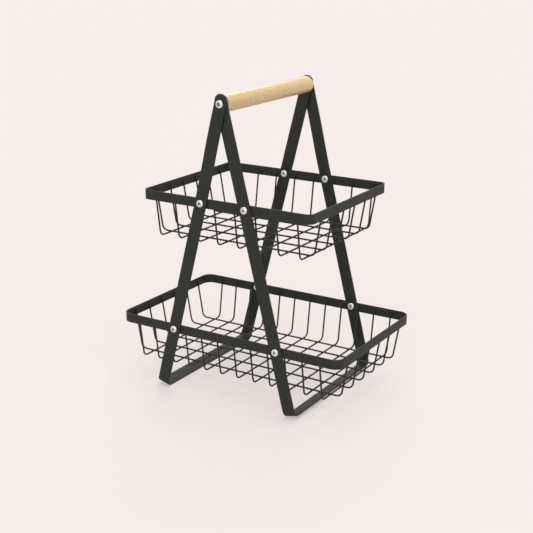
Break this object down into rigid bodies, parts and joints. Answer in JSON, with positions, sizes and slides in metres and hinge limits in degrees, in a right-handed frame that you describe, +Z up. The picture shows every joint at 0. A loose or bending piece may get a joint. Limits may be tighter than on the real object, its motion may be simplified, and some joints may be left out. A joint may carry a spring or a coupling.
{
  "type": "tiered wire basket",
  "caption": "Free-standing tiered wire basket: rectangular wire baskets with strap rims on a leaning strap A-frame, with a wooden carrying grip.",
  "frame": {"origin": "on the table, at the middle of the stand's footprint, below the grip", "axes": "+Z up, +X along the baskets' length, +Y from front to rear along the grip"},
  "size_m": [0.3714, 0.2436, 0.4468],
  "materials": {
    "powder_coat": "matt charcoal-black powder coat",
    "plated_steel": "bright zinc-plated steel",
    "beech": "pale beech, sanded and oiled",
    "insert_brass": "turned brass"
  },
  "bodies": {
    "frame": {"left_leg_frame": "powder_coat", "right_leg_frame": "powder_coat", "lower_rim": "powder_coat", "upper_rim": "powder_coat", "lower_cross_wire_1": "powder_coat", "lower_cross_wire_2": "powder_coat", "lower_cross_wire_3": "powder_coat", "lower_cross_wire_4": "powder_coat", "lower_cross_wire_5": "powder_coat", "lower_cross_wire_6": "powder_coat", "lower_cross_wire_7": "powder_coat", "lower_cross_wire_8": "powder_coat", "lower_cross_wire_9": "powder_coat", "lower_cross_wire_10": "powder_coat", "lower_cross_wire_11": "powder_coat", "lower_cross_wire_12": "powder_coat", "lower_long_wire_1": "powder_coat", "lower_long_wire_2": "powder_coat", "lower_long_wire_3": "powder_coat", "lower_long_wire_4": "powder_coat", "lower_long_wire_5": "powder_coat", "lower_long_wire_6": "powder_coat", "upper_cross_wire_1": "powder_coat", "upper_cross_wire_2": "powder_coat", "upper_cross_wire_3": "powder_coat", "upper_cross_wire_4": "powder_coat", "upper_cross_wire_5": "powder_coat", "upper_cross_wire_6": "powder_coat", "upper_cross_wire_7": "powder_coat", "upper_cross_wire_8": "powder_coat", "upper_long_wire_1": "powder_coat", "upper_long_wire_2": "powder_coat", "upper_long_wire_3": "powder_coat", "upper_long_wire_4": "powder_coat", "upper_long_wire_5": "powder_coat", "upper_long_wire_6": "powder_coat", "lower_rim_screws": "plated_steel", "lower_rim_nuts": "plated_steel", "upper_rim_screws": "plated_steel", "upper_rim_nuts": "plated_steel"},
    "grip": {"wooden_grip": "beech", "grip_screws": "plated_steel", "grip_inserts": "insert_brass"}
  },
  "joints": [
    {"name": "grip_turn", "type": "hinge", "parent": "frame", "child": "grip", "pos_m": [0, 0, 0.43341], "axis": [0, 1, 0], "continuous": true}
  ]
}
